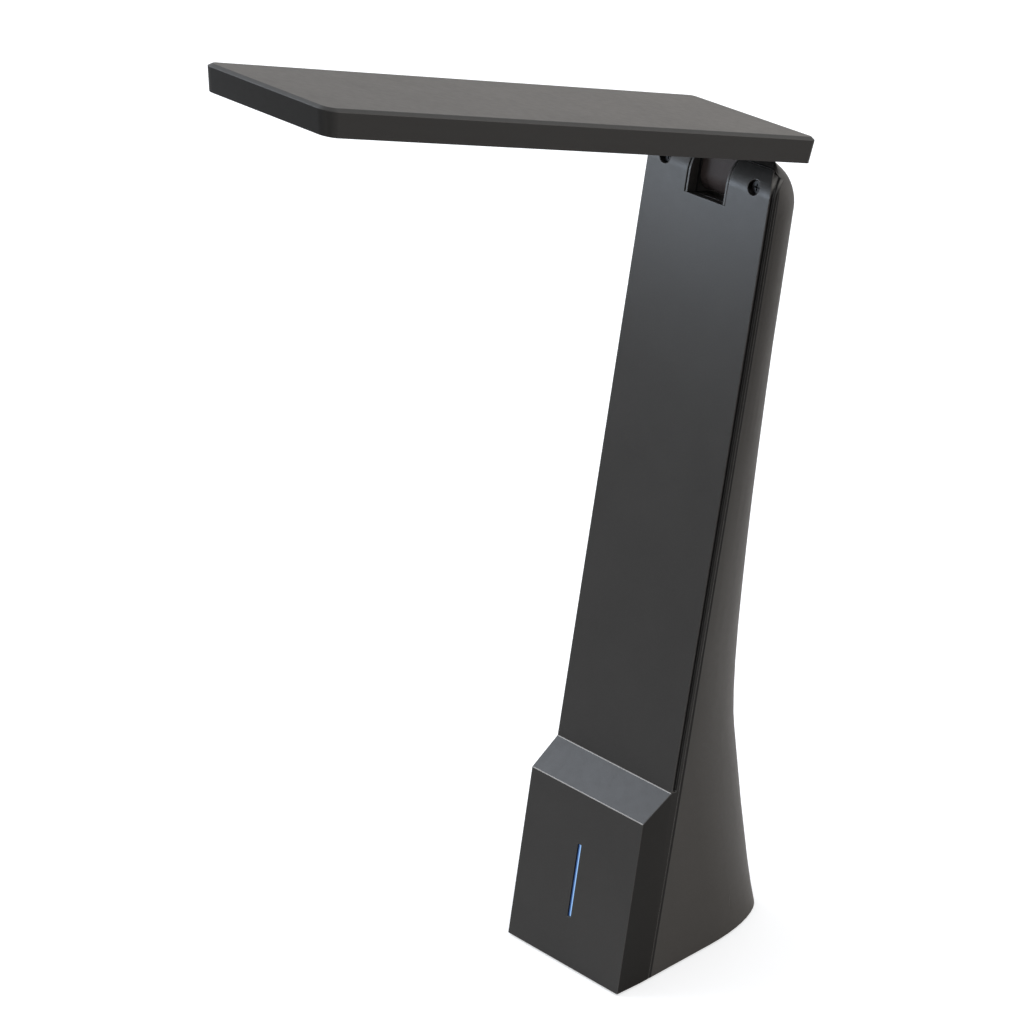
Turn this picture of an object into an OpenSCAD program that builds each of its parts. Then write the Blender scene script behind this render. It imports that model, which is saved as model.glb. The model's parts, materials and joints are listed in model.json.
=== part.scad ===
// Folding table lamp with a flat light head on a leaning column.
// Millimetres, +Z up, +Y to the rear, origin on the ground at the centre of the base.
// Inside the column, t is the depth behind the front face and a is the distance up it.

/* [Column] */
// Width of the column
col_w = 55; // [46:0.5:66]
// Lean of the front face back from upright, in degrees
lean = 14.35; // [9:0.05:18]
// Distance up the front face from its foot to the hinge axis
axis_up = 267.6; // [222:0.1:322]
// Depth of the base from front to rear
base_depth = 73.6; // [66:0.1:88]
// Radius of the ears about the hinge axis
ear_r = 11; // [10.2:0.1:12.4]
// Radius of the ears' outer top corners, seen from the front
top_corner_r = 8; // [5:0.5:11]
// Width of the rounded rear corners, seen from above
corner_w = 13; // [9:0.5:16]
// Length of the rounded rear corners from front to rear, seen from above
corner_len = 31; // [24:0.5:36]
// Radius of the rear top edge, seen from the side
rear_top_r = 15.5; // [13:0.5:20]
// Height of the waist where the rear face is deepest in
waist_z = 79; // [70:1:92]
// Depth of the waist in front of the base's rear edge
waist_in = 7.7; // [5:0.1:10]
// Slope of the flare at the base's rear edge, run over rise
flare = 0.22; // [0.1:0.01:0.3]
// Wall of the rear shell
shell_wall = 2; // [1.6:0.1:2.6]

/* [Front cover] */
// Thickness of the front cover
skin = 2; // [1.6:0.1:2.4]
// Depth of the front cover's sides, from its face to the seam
seam_depth = 3.6; // [3:0.1:4.4]
// Thickness of the front cover's sides
side_wall = 1.6; // [1.2:0.1:2]
// Gap along the seam
seam_gap = 0.2; // [0.1:0.05:0.4]
// Angle over which the front cover wraps back over the ears
wrap_angle = 50; // [40:1:60]
// Width of the shadow groove
groove_w = 2; // [1:0.1:2.4]
// Depth of the shadow groove
groove_d = 0.8; // [0.4:0.1:1]
// Distance from the face to the shadow groove
groove_in = 0.35; // [0.2:0.05:0.6]
// Half width of the notch between the ears
notch_half = 9.2; // [8.8:0.1:9.5]
// Gap between the front cover and the rims beside the notch
rim_gap = 0.35; // [0.2:0.05:0.5]
// Sideways distance of the two upper screws from the middle
screw_x = 19.9; // [18.9:0.1:21]
// Height of the two upper screws above the hinge axis
screw_up = 2.15; // [1.5:0.05:2.6]
// Diameter of the screw recesses
recess_d = 5; // [4.8:0.1:5.6]
// Depth of the screw recesses
recess_depth = 3; // [2.4:0.1:3.2]

/* [Pod] */
// Reach of the pod's foot in front of the front face, along the ground
pod_foot = 9.97; // [8:0.01:13]
// Reach of the pod's upper edge in front of the front face
pod_out = 10.37; // [8:0.01:13]
// Distance up the front face to the pod's upper edge
pod_edge = 58.3; // [50:0.1:66]
// Distance up the front face to the top of the pod's slope
pod_top = 67.8; // [60:0.1:76]
// Draft of the pod's sides, in degrees
pod_draft = 3.5; // [0:0.1:5]
// Length of the lit line
line_len = 26; // [20:0.5:32]
// Width of the lit line
line_w = 1.5; // [1:0.1:2.4]
// Height of the lit line's middle up the face
line_up = 27.6; // [24:0.1:34]
// Depth of the lit line below the pod's face
line_sunk = 0.6; // [0.1:0.05:0.8]

/* [Hinge] */
// Radius of the hinge barrel
barrel_r = 6.2; // [5.6:0.1:7]
// Gap between each end of the hinge barrel and the rim beside it
barrel_end_gap = 0.3; // [0.2:0.05:0.6]
// Gap around the barrel
barrel_gap = 0.5; // [0.3:0.1:1]
// Radius of the hollow hinge shaft's journals
shaft_r = 2.5; // [2:0.1:3]
// Radius of the hinge shaft between its shoulders
shoulder_r = 3.2; // [3:0.1:3.8]
// Half length of the hinge shaft
shaft_half = 18.3; // [17.6:0.1:18.6]
// Radius of the wire bore in the shaft
wire_bore_r = 1.3; // [1.1:0.1:1.5]
// Radial play of a turning shaft in its hole
running = 0.05; // [0.02:0.01:0.09]
// Thickness of the steel hinge brackets
bracket_t = 1.8; // [1.4:0.1:2]

/* [Head] */
// Rise of the head towards its front end, in degrees
head_rise = 19; // [-10:0.5:40]
// Length of the head
head_len = 204.8; // [184:0.1:208]
// Width of the head
head_w = 56.8; // [50:0.1:68]
// Thickness of the head
head_t = 8.4; // [8:0.05:10]
// Length of the head behind the hinge axis
overhang = 4.6; // [3:0.1:5.4]
// Gap between the ears and the underside of the head
head_gap = 0.6; // [0.4:0.05:1.2]
// Radius of the head's front corners
front_corner = 4.5; // [3.5:0.5:7]
// Radius of the head's rear corners
rear_corner = 3; // [2.5:0.5:5]
// Width of the bevel around the head's top edge
bevel_w = 1.3; // [0.4:0.1:1.6]
// Height of the bevel around the head's top edge
bevel_h = 0.9; // [0.4:0.1:1.2]
// Draft of the head's sides and rear from the bevel to the underside
head_draft = 0.34; // [0:0.02:0.6]
// Set-back of the head's front wall at the underside, which follows the slope above the pod
front_lean = 2.3; // [1.4:0.1:3]
// Wall of the head's cover
head_wall = 1.5; // [1.2:0.1:1.8]
// Thickness of the bezel around the light panel
bezel_t = 1.5; // [1.2:0.1:1.8]
// Width of the bezel along the long sides
bezel_w = 6.8; // [5:0.1:9]

/* [Base] */
// Thickness of the base plate
plate_t = 2.6; // [2.2:0.1:3.2]
// Thickness of the rubber foot pad
pad_t = 1.3; // [1.1:0.1:1.6]
// Height of the housing's edge above the ground
pad_proud = 0.8; // [0.5:0.1:1]
// Width of the rubber foot pad
pad_w = 44; // [36:1:50]
// Length of the rubber foot pad
pad_len = 56; // [44:1:62]
// Thickness of the steel ballast
ballast_t = 8; // [4:0.5:9]

/* [Power] */
// Radius of the battery cell
cell_r = 9.2; // [8:0.1:9.6]
// Length of the battery cell
cell_len = 65; // [55:0.5:68]
// Thickness of the circuit boards
board_t = 1.6; // [1:0.1:2]

/* [Hidden] */
$fn = 48;
far = 400;
clear = 0.1;
snug = 0.15;
washer_t = 0.6;
screw_shank_r = 1.2;
screw_head_r = 2.1;
screw_head_h = 1.3;
small_head_r = 1.9;
small_head_h = 0.9;
cross_reach = 0.55;
cross_w = 0.5;
cross_d = 0.7;
small_hole_r = 1.1;
pilot_r = 0.9;
half_w = col_w / 2;
cl = cos(lean);
sl = sin(lean);
housing_z = pad_proud;
panel_y = -base_depth / 2 + pod_foot;
base_rear_y = base_depth / 2;
axis_y = panel_y + ear_r * cl + axis_up * sl;
axis_z = housing_z - ear_r * sl + axis_up * cl;
crown_z = axis_z + ear_r;
slope_k = (pod_top - pod_edge) / pod_out;
foot_out = pod_foot * cl;
foot_down = pod_foot * sl;
notch_floor = axis_up - barrel_r - barrel_gap;
floor_wall = 2;

// Shell: the rear face's side view runs from the base over the waist to the crown.
col_depth = 2 * ear_r;
top_centre_t = col_depth - rear_top_r;
top_centre_a = axis_up + ear_r - sqrt(pow(rear_top_r, 2) - pow(ear_r - top_centre_t, 2));
top_arc_end = asin((axis_up + ear_r - top_centre_a) / rear_top_r);
base_pull = 16;
waist_pull_low = 7.8;
waist_pull_high = 28;
top_pull = 53;
dome_h = 19;
dome_w = 25.5;
rim_t = 0.8;
corner_steps = 11;
low_steps = 8;
high_steps = 12;
arc_steps = 12;
crown_steps = 3;
corner_gap = 0.3;
corner_least = 0.2;

// Ears and hinge: a stack of parts lies outwards along each journal.
rim_half = notch_half - rim_gap - rim_t;
barrel_half = rim_half - barrel_end_gap;
ear_wall = 1.5;
shoulder_gap = 0.3;
ear_wall_out = rim_half + ear_wall;
washer_in = ear_wall_out + running;
leaf_in = washer_in + washer_t + running;
leaf_out = leaf_in + bracket_t;
washer_out = leaf_out + running;
spring_in = washer_out + washer_t;
spring_len = 1.05;
spring_t = 0.4;
nut_in = spring_in + spring_len;
nut_len = 2.7;
nut_r = 8 / 2 / cos(30);
washer_r = 5;
leaf_r = 5.5;
bracket_face = seam_depth + seam_gap + 0.4;
bracket_outer = 22.6;
bracket_top = 4.4;
bracket_low = 27;
bracket_screws = [-13, -23];
bracket_screw_x = 16.5;
bracket_screw_len = 8;
cover_screw_len = 5;
boss_r = 2.9;

// Head: y runs rearwards and z upwards from the hinge axis, before the head is tilted.
under_z = ear_r + head_gap;
top_z = under_z + head_t;
bezel_z = under_z + bezel_t;
ceiling_z = top_z - head_wall;
head_front = overhang - head_len;
frame_fit = clear + head_draft;
frame_half = head_w / 2 - head_wall - frame_fit;
frame_front = head_front + front_lean + head_wall + clear;
frame_rear = overhang - head_wall - frame_fit;
flange_z = bezel_z + 1.2;
flange_t = 1.8;
flange_half = 14.5;
flange_front = -21;
flange_screws = [-7, -17];
flange_screw_x = 11;
flange_screw_len = 3.8;
flange_boss_r = 2.1;
head_boss_r = 2.4;
bezel_screw_len = 5;
bezel_head_h = 0.8;
neck_rear = min(2, frame_rear - clear);
optic_rear = -28;
optic_front = head_front + 15.5;
window_half = head_w / 2 - bezel_w;
window_front = optic_front + 3;
window_rear = optic_rear - 3;
panel_half = window_half + 2.5;
guide_t = 2.5;
diffuser_t = 1.2;
reflector_t = 0.4;
led_d = 0.8;
led_board_t = 0.9;
led_board_h = 2.8;
led_count = 18;
led_len = 3.5;
led_h = 1.8;
head_screw_x = window_half - 0.6;
head_screw_rear = -14;
head_screw_front = head_front + 8.6;
strip_w = 8;
strip_x = [-17, 0, 17];
bezel_sink = 0.9;

// Base: the plate closes the foot, and its screws reach bosses in both housings.
plate_top = housing_z + plate_t;
plate_gap = 0.2;
plate_skin = 0.9;
foot_screws = [[18, -26.5], [17.5, 15]];
foot_boss_top = 15;
base_head_h = 1.1;
base_screw_len = 8;
pad_y = -2;
pad_corner = 6;
ballast_half = 14;
ballast_front = -17;
ballast_rear = 17;
socket_z = 15.5;
socket_w = 8.9;
socket_h = 3.3;
socket_len = 7.4;
socket_board_half = 9;
socket_board_len = 15;
socket_post_x = 6.2;
socket_post_r = 2.2;
socket_post_in = 11;
socket_screw_len = 5;
socket_in = 0.5;
socket_sheet = 0.3;
tongue_half = 3.3;
tongue_t = 0.7;

// Power: the cell leans with the column behind the control board.
cell_t = 20.6;
cell_a = 24;
cell_button_r = 3;
cell_button_h = 0.8;
cradle_gap = 0.25;
cradle_wall = 1.5;
cradle_lip = 2.5;
cradle_ear_t = 2;
cradle_ear_len = 9;
cradle_screw_x = 15;
cradle_screw_len = 7;
cradle_ears = [12, 52];
board_face = 3.2;
board_half = 20;
board_low = 9;
board_high = 56;
board_posts = [[16.5, 13], [16.5, 52]];

// Parts on the board: each block's left, right, low and high edges and its height,
// and each round part's place, radius and height.
chip_blocks = [[-17, -11, 43.5, 49.5, 4], [0, 6, 43.5, 49.5, 4], [-6, 2, 28, 36, 1.2], [8, 14, 20, 24, 1]];
chip_cans = [[10, 33, 3.2, 3], [-13, 30, 2.5, 4.6]];

post_r = 2.5;
board_screw_len = 6;
wire_r = 0.9;
joint_swell = 1.03;
thin_wire_r = 0.6;
charge_wire_r = 0.8;
pad_foil = 0.3;
touch_half = 13.5;
touch_low = 12;
touch_high = 46;
touch_slot = 3;
contact_x = 9;
contact_up = 42;
contact_r = 1;
contact_foot_r = 1.8;
guide_back = 2;
guide_flange_half = 2.4;
line_led_half = 1.2;
line_led_up = [-9, 0, 9];

graphite = "#4b4d4f";
graphite_dark = "#3a3a39";
steel = "#b9bcc0";
board_green = "#1f5a3c";
copper = "#c07a4a";
rubber_black = "#232323";
opal = "#eceae4";
clear_white = "#dfe8ee";
blue_light = "#5b9be0";
foam_grey = "#6c6c6c";

// Places its children in the column, which leans back from the front face's foot.
module in_column() {
  translate([0, panel_y, housing_z]) rotate([-lean, 0, 0]) children();
}

// Places its children in the head, about the hinge axis.
module in_head() {
  translate([0, axis_y, axis_z]) rotate([-head_rise, 0, 0]) children();
}

// Copies its children to the left as well.
module both_sides() {
  for (side = [0, 1]) mirror([side, 0, 0]) children();
}

module rod_x(r, x0, x1) {
  translate([x0, 0, 0]) rotate([0, 90, 0]) cylinder(r = r, h = x1 - x0);
}

module rod_y(r, y0, y1) {
  translate([0, y0, 0]) rotate([-90, 0, 0]) cylinder(r = r, h = y1 - y0);
}

module rod_z(r, z0, z1) {
  translate([0, 0, z0]) cylinder(r = r, h = z1 - z0);
}

// Box between two corners.
module block(p, q) {
  translate(p) cube(q - p);
}

// Solid with a side view drawn in y and z, from x0 to x1.
module side_solid(x0, x1) {
  translate([x0, 0, 0]) rotate([90, 0, 90]) linear_extrude(x1 - x0) children();
}

// Rectangle between two corners, with round corners of one radius in front and another behind.
module round_rect(p, q, front, rear) {
  w = q[0] - p[0];
  l = q[1] - p[1];
  translate([p[0], p[1] + front]) square([w, l - front - rear]);
  translate([p[0] + front, p[1]]) square([w - 2 * front, l - rear]);
  translate([p[0] + rear, p[1] + front]) square([w - 2 * rear, l - front]);
  for (x = [p[0] + front, q[0] - front]) translate([x, p[1] + front]) circle(front);
  for (x = [p[0] + rear, q[0] - rear]) translate([x, q[1] - rear]) circle(rear);
}

// Wire along a chain of points.
module wire(points, r) {
  for (i = [0 : len(points) - 2]) {
    run = points[i + 1] - points[i];
    turn = acos(run[2] / norm(run));
    translate(points[i]) rotate([0, turn, atan2(run[1], run[0])]) cylinder(r = r, h = norm(run), $fn = 16);
    if (i > 0) translate(points[i]) sphere(r * joint_swell, $fn = 16);
  }
}

// Screw with a round head: the head starts at z = 0 and the shank points to -z.
module screw(head_r, head_h, shank_r, length) {
  difference() {
    union() {
      cylinder(r = head_r, h = head_h);
      rod_z(shank_r, -length, 0);
    }
    for (turn = [0, 90]) rotate(turn)
      translate([-head_r * cross_reach, -cross_w / 2, head_h - cross_d])
        cube([2 * head_r * cross_reach, cross_w, cross_d + 1]);
  }
}

// Point of a cubic curve.
function curve(p0, p1, p2, p3, u) =
  pow(1 - u, 3) * p0 + 3 * u * pow(1 - u, 2) * p1 + 3 * u * u * (1 - u) * p2 + pow(u, 3) * p3;

// World y and z of a point in the column.
function col_point(t, a) = [panel_y + t * cl + a * sl, housing_z - t * sl + a * cl];

base_edge = [base_rear_y, housing_z];
waist = [base_rear_y - waist_in, waist_z];
rear_tangent = col_point(col_depth, top_centre_a);

// Side view of the rear face as y and z, from the base up.
rear_line = concat(
  [for (i = [0 : low_steps]) curve(base_edge, base_edge + base_pull * [-flare, 1],
    waist - [0, waist_pull_low], waist, i / low_steps)],
  [for (i = [1 : high_steps]) curve(waist, waist + [0, waist_pull_high],
    rear_tangent - top_pull * [sl, cl], rear_tangent, i / high_steps)],
  [for (i = [1 : arc_steps]) let (g = top_arc_end * i / arc_steps)
    col_point(top_centre_t + rear_top_r * cos(g), top_centre_a + rear_top_r * sin(g))],
  [for (i = [1 : crown_steps]) let (g = 90 - lean + (lean - 4) * i / crown_steps)
    [axis_y + ear_r * cos(g), axis_z + ear_r * sin(g)]]
);

// Rear face's y at height z.
function rear_at(z) = lookup(z, [for (p = rear_line) [p[1], p[0]]]);

socket_y = rear_at(socket_z) - socket_in;
socket_board_z = socket_z - socket_h / 2 - board_t;
socket_post_y = socket_y - socket_post_in;

// Front line of the column at height z: the flat face, then the round of the ears.
function front_at(z) = z <= axis_z + ear_r * sl
  ? panel_y + (z - housing_z) * sl / cl
  : axis_y - sqrt(max(pow(ear_r, 2) - pow(z - axis_z, 2), 0));

// Half width at height z, drawn in by the ears' round top corners.
function half_at(z) = z <= crown_z - top_corner_r
  ? half_w
  : half_w - top_corner_r + sqrt(max(pow(top_corner_r, 2) - pow(z - crown_z + top_corner_r, 2), 0));

// Closed outline of the column at one height, a wall's thickness inside its surface.
function ring(y_rear, z, inset, open) =
  let (
    y_front = front_at(z),
    hw = half_at(z) - inset,
    rise = max(z - crown_z + dome_h, 0) / dome_h,
    rx = min(corner_w + (dome_w - corner_w) * rise * rise - inset, hw),
    ry = max(min(corner_len, y_rear - y_front - corner_gap) - inset, corner_least),
    yr = y_rear - inset
  )
  concat(
    [[hw, y_front - open, z]],
    [for (i = [0 : corner_steps]) let (g = 90 * i / corner_steps)
      [hw - rx + rx * cos(g), yr - ry + ry * sin(g), z]],
    [for (i = [corner_steps : -1 : 0]) let (g = 90 * i / corner_steps)
      [-hw + rx - rx * cos(g), yr - ry + ry * sin(g), z]],
    [[-hw, y_front - open, z]]
  );

// Solid through a pile of outlines that all have the same number of points.
module loft(rings) {
  n = len(rings[0]);
  last = len(rings) - 1;
  sides = [for (k = [0 : last - 1], i = [0 : n - 1]) let (j = (i + 1) % n)
    for (f = [[k * n + i, k * n + n + i, k * n + n + j], [k * n + i, k * n + n + j, k * n + j]]) f];
  polyhedron(
    points = [for (r = rings, p = r) p],
    faces = concat(
      [[for (i = [0 : n - 1]) i]],
      sides,
      [[for (i = [n - 1 : -1 : 0]) last * n + i]]
    ),
    convexity = 6
  );
}

// Outer form of the column, without the pod.
module column_form() {
  loft([for (p = rear_line) ring(p[0], p[1], 0, 0)]);
}

// Hollow of the rear shell, open to the front and below.
module shell_hollow() {
  cap_z = axis_z + 6.4;
  below = rear_line[0] - [0, 2];
  inner = [for (p = rear_line) if (p[1] < cap_z - 1) p];
  loft([for (p = concat([below], inner, [[rear_at(cap_z), cap_z]])) ring(p[0], p[1], shell_wall, 3)]);
}

// Front outline of the column, in x and z, drawn through from front to rear.
module front_form(inset) {
  r = top_corner_r - inset;
  w = half_w - inset;
  rotate([90, 0, 0]) linear_extrude(far, center = true) {
    translate([-w, -10]) square([2 * w, crown_z - top_corner_r + 10]);
    translate([-w + r, 0]) square([2 * (w - r), crown_z - inset]);
    for (side = [-1, 1]) translate([side * (w - r), crown_z - top_corner_r]) circle(r);
  }
}

// Wedge about the hinge axis, from straight forwards up to the given angle.
module wrap_wedge(angle) {
  translate([ear_r, axis_up]) polygon([
    [0, 0], [-far, 0], [-far * cos(angle / 2), far * sin(angle / 2)],
    [-far * cos(angle), far * sin(angle)]
  ]);
}

// Depth of the pod's face in front of the front face, at a height up it.
function pod_face(a) = foot_out + (pod_out - foot_out) * (a + foot_down) / (pod_edge + foot_down);

// Side view of the front cover from its face to a depth, with the face set in.
module cover_side(inset, depth, drop, wrap) {
  k_len = inset * sqrt(1 + slope_k * slope_k);
  foot = -foot_down - drop;
  polygon([
    [inset - pod_face(foot), foot],
    [inset - pod_out, pod_top - k_len + (inset - pod_out) * slope_k],
    [inset, pod_top - k_len + inset * slope_k],
    [inset, axis_up],
    [depth, axis_up],
    [depth, depth * sl / cl - drop]
  ]);
  intersection() {
    difference() {
      translate([ear_r, axis_up]) circle(ear_r - inset);
      translate([ear_r, axis_up]) circle(ear_r - depth);
    }
    wrap_wedge(wrap);
  }
}

// Cuts away what stands outside the pod's drafted sides.
module draft_cut(half) {
  both_sides() translate([half, 0, 0]) rotate([0, 0, -pod_draft])
    translate([0, -far, -far]) cube([far, far, 2 * far]);
}

module cover_solid() {
  difference() {
    side_solid(-half_w, half_w) cover_side(0, seam_depth, 0, wrap_angle);
    draft_cut(half_w);
  }
}

module cover_hollow() {
  half = half_w - side_wall;
  difference() {
    side_solid(-half, half) cover_side(skin, seam_depth + 1, 20, wrap_angle + 20);
    draft_cut(half);
  }
}

// Notch between the ears, all the way through the column.
module notch(half) {
  translate([-half, -far / 2, notch_floor]) cube([2 * half, far, far]);
}

// Shadow groove along the upper column's sides and round the ears and their corners.
module groove() {
  difference() {
    in_column() side_solid(-half_w - 1, half_w + 1) {
      polygon([
        [groove_in, pod_top + groove_in], [groove_in + groove_w, pod_top + groove_in],
        [groove_in + groove_w, axis_up], [groove_in, axis_up]
      ]);
      intersection() {
        difference() {
          translate([ear_r, axis_up]) circle(ear_r - groove_in);
          translate([ear_r, axis_up]) circle(ear_r - groove_in - groove_w);
        }
        wrap_wedge(wrap_angle + 5);
      }
    }
    front_form(groove_d);
  }
}

// Slot or bar at the lit line: its face is set in from the pod's face, and it runs back to a depth.
module line_bar(half, grow, sunk, back) {
  low = line_up - line_len / 2 - grow;
  high = line_up + line_len / 2 + grow;
  side_solid(-half, half) polygon([
    [sunk - pod_face(low), low], [sunk - pod_face(high), high], [back, high], [back, low]
  ]);
}

// Two screw bosses that stand on the base plate, each joined to its side wall.
module foot_bosses(p, wall) {
  both_sides() {
    translate([p[0], p[1], 0]) rod_z(boss_r, plate_top, foot_boss_top);
    block([p[0], p[1] - 1, plate_top], [half_w - wall / 2, p[1] + 1, foot_boss_top]);
  }
}

module foot_pilots(p) {
  both_sides() translate([p[0], p[1], 0]) rod_z(pilot_r, 0, foot_boss_top - 3);
}

module front_cover() {
  color(graphite) difference() {
    union() {
      difference() {
        intersection() {
          in_column() cover_solid();
          front_form(0);
        }
        intersection() {
          in_column() cover_hollow();
          front_form(side_wall);
        }
        groove();
      }
      in_column() {
        block([-notch_half, skin / 2, notch_floor - floor_wall], [notch_half, seam_depth, notch_floor]);
        both_sides() {
          intersection() {
            translate([screw_x, 0, axis_up + screw_up])
              rod_y(recess_d / 2 + 1, 0, bracket_face - clear);
            translate([0, ear_r, axis_up]) rod_x(ear_r - skin / 2, 0, half_w);
          }
          for (p = board_posts)
            translate([p[0], 0, p[1]]) rod_y(post_r, skin / 2 - pod_face(p[1]), board_face);
        }
      }
      foot_bosses(foot_screws[0], side_wall);
    }
    in_column() {
      notch(notch_half);
      both_sides() {
        translate([screw_x, 0, axis_up + screw_up]) {
          rod_y(recess_d / 2, -skin, recess_depth);
          rod_y(screw_shank_r + clear, 0, bracket_face);
        }
        for (p = board_posts)
          translate([p[0], 0, p[1]])
            rod_y(pilot_r, board_face + board_t - board_screw_len - 0.6, board_face + 1);
      }
      line_bar(line_w / 2 + clear, clear, -1, 0);
    }
    foot_pilots(foot_screws[0]);
  }
}

// Everything in front of the seam, apart from the rims beside the notch.
module seam_zone() {
  depth = seam_depth + seam_gap;
  difference() {
    side_solid(-half_w - 5, half_w + 5)
      cover_side(-5, depth, 5, wrap_angle + seam_gap / ear_r * 180 / PI);
    side_solid(-rim_half - rim_t, rim_half + rim_t) difference() {
      union() {
        translate([seam_gap, notch_floor]) square([ear_r, axis_up - notch_floor]);
        translate([ear_r, axis_up]) circle(ear_r - seam_gap);
      }
      translate([-far, notch_floor - far]) square([2 * far, far]);
    }
  }
}

module rear_shell() {
  cradle_back = cell_t + cradle_ear_t / 2;
  bracket_back_t = bracket_face + bracket_t;
  color(graphite) difference() {
    union() {
      difference() {
        column_form();
        difference() {
          shell_hollow();
          in_column() block([-ear_wall_out, -far, notch_floor - floor_wall], [ear_wall_out, far, far]);
        }
        in_column() seam_zone();
      }
      intersection() {
        loft([for (p = rear_line) if (p[1] < axis_z) ring(p[0], p[1], shell_wall / 2, 0)]);
        in_column() both_sides() {
          for (up = bracket_screws) translate([bracket_screw_x, 0, axis_up + up])
            rod_y(boss_r, bracket_back_t, far / 4);
          for (up = cradle_ears) translate([cradle_screw_x, 0, cell_a + up])
            rod_y(boss_r, cradle_back, far / 4);
        }
      }
      foot_bosses(foot_screws[1], shell_wall);
    }
    in_column() {
      notch(rim_half);
      translate([0, ear_r, axis_up]) rod_x(shoulder_r + shoulder_gap, -washer_in, washer_in);
      both_sides() {
        for (up = bracket_screws) translate([bracket_screw_x, 0, axis_up + up])
          rod_y(pilot_r, bracket_back_t - 1, bracket_face + bracket_screw_len + 0.5);
        for (up = cradle_ears) translate([cradle_screw_x, 0, cell_a + up])
          rod_y(pilot_r, cradle_back - 1, cradle_back + cradle_screw_len);
      }
    }
    foot_pilots(foot_screws[1]);
    translate([0, socket_y - 2, socket_z]) stadium(socket_w + 0.5, socket_h + 0.5, 20);
  }
}

// Bar along +Y with a flat middle and round ends.
module stadium(w, h, len) {
  rotate([-90, 0, 0]) linear_extrude(len) {
    square([w - h, h], center = true);
    for (side = [-1, 1]) translate([side * (w - h) / 2, 0]) circle(h / 2);
  }
}

module base_plate() {
  rear = [for (q = ring(base_rear_y - flare * plate_t, housing_z, shell_wall + plate_gap, 0)) [q[0], q[1]]];
  front_half = half_w - side_wall - foot_out * tan(pod_draft) - plate_gap;
  front_y = -base_depth / 2 + plate_t * sl / cl + skin / cl + plate_gap;
  pocket = pad_t - pad_proud;
  color(graphite_dark) difference() {
    union() {
      translate([0, 0, housing_z]) linear_extrude(plate_t) {
        polygon(rear);
        translate([-front_half, front_y]) square([2 * front_half, panel_y + 2 - front_y]);
      }
      both_sides() translate([socket_post_x, socket_post_y, 0])
        rod_z(socket_post_r, plate_top - 1, socket_board_z);
    }
    translate([0, 0, housing_z - 1]) linear_extrude(1 + pocket) pad_outline(snug);
    for (p = foot_screws) both_sides() translate([p[0], p[1], 0]) {
      rod_z(screw_head_r + 0.3, 0, plate_top - plate_skin);
      rod_z(screw_shank_r + clear, 0, far / 10);
    }
    both_sides() translate([socket_post_x, socket_post_y, 0])
      rod_z(pilot_r, socket_board_z - socket_screw_len, socket_board_z + 1);
  }
}

module pad_outline(grow) {
  translate([0, pad_y])
    round_rect([-pad_w / 2 - grow, -pad_len / 2 - grow], [pad_w / 2 + grow, pad_len / 2 + grow],
      pad_corner + grow, pad_corner + grow);
}

module base_screws() {
  color(steel) for (p = foot_screws) both_sides()
    translate([p[0], p[1], plate_top - plate_skin]) rotate([180, 0, 0])
      screw(screw_head_r, base_head_h, pilot_r, base_screw_len);
}

module foot_pad() {
  color(rubber_black) linear_extrude(pad_t) pad_outline(0);
}

module ballast() {
  color(steel) block([-ballast_half, ballast_front, plate_top],
    [ballast_half, ballast_rear, plate_top + ballast_t]);
}

// Places its children at the cell's lower end, with z along the cell.
module at_cell() {
  in_column() translate([0, cell_t, cell_a]) children();
}

module battery_cell() {
  color("#3f6fb5") at_cell() {
    cylinder(r = cell_r, h = cell_len);
    rod_z(cell_button_r, cell_len, cell_len + cell_button_h);
  }
}

module battery_cradle() {
  inner = cell_r + cradle_gap;
  outer = inner + cradle_wall;
  half_ear = cradle_ear_t / 2;
  lip = cell_r - cradle_lip;
  color(graphite_dark) at_cell() difference() {
    union() {
      difference() {
        rod_z(outer, -cradle_wall - clear, cell_len + cradle_wall + clear);
        rod_z(inner, -clear, cell_len + clear);
        rod_z(lip, -far / 4, far / 4);
        block([-far, -far, -far], [far, -half_ear, far]);
      }
      for (up = cradle_ears) both_sides()
        block([inner + 0.4, -half_ear, up - cradle_ear_len / 2],
          [cradle_screw_x + 3.4, half_ear, up + cradle_ear_len / 2]);
    }
    for (up = cradle_ears) both_sides()
      translate([cradle_screw_x, 0, up]) rod_y(screw_shank_r + clear, -2, 2);
  }
}

module cradle_screws() {
  color(steel) at_cell() for (up = cradle_ears) both_sides()
    translate([cradle_screw_x, -cradle_ear_t / 2, up]) rotate([90, 0, 0])
      screw(screw_head_r, screw_head_h, pilot_r, cradle_screw_len);
}

module control_board() {
  color(board_green) in_column() difference() {
    block([-board_half, board_face, board_low], [board_half, board_face + board_t, board_high]);
    both_sides() for (p = board_posts)
      translate([p[0], 0, p[1]]) rod_y(screw_shank_r + clear, 0, 9);
  }
}

// Parts on the rear of the control board: connectors, a controller, a coil and a capacitor.
module board_chips() {
  back = board_face + board_t;
  color("#2a2a2c") in_column() {
    for (c = chip_blocks) block([c[0], back, c[2]], [c[1], back + c[4], c[3]]);
    for (c = chip_cans) translate([c[0], 0, c[1]]) rod_y(c[2], back, back + c[3]);
  }
}

module board_screws() {
  color(steel) in_column() both_sides() for (p = board_posts)
    translate([p[0], board_face + board_t, p[1]]) rotate([-90, 0, 0])
      screw(screw_head_r, screw_head_h, pilot_r, board_screw_len);
}

// Copper pad on the inside of the pod's face, open along the lit line.
module touch_pad() {
  low = touch_low;
  high = touch_high;
  color(copper) in_column() difference() {
    side_solid(-touch_half, touch_half) polygon([
      [skin - pod_face(low), low], [skin - pod_face(high), high],
      [skin - pod_face(high) + pad_foil, high], [skin - pod_face(low) + pad_foil, low]
    ]);
    block([-touch_slot, -far, -far], [touch_slot, far, high - touch_slot]);
  }
}

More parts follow.
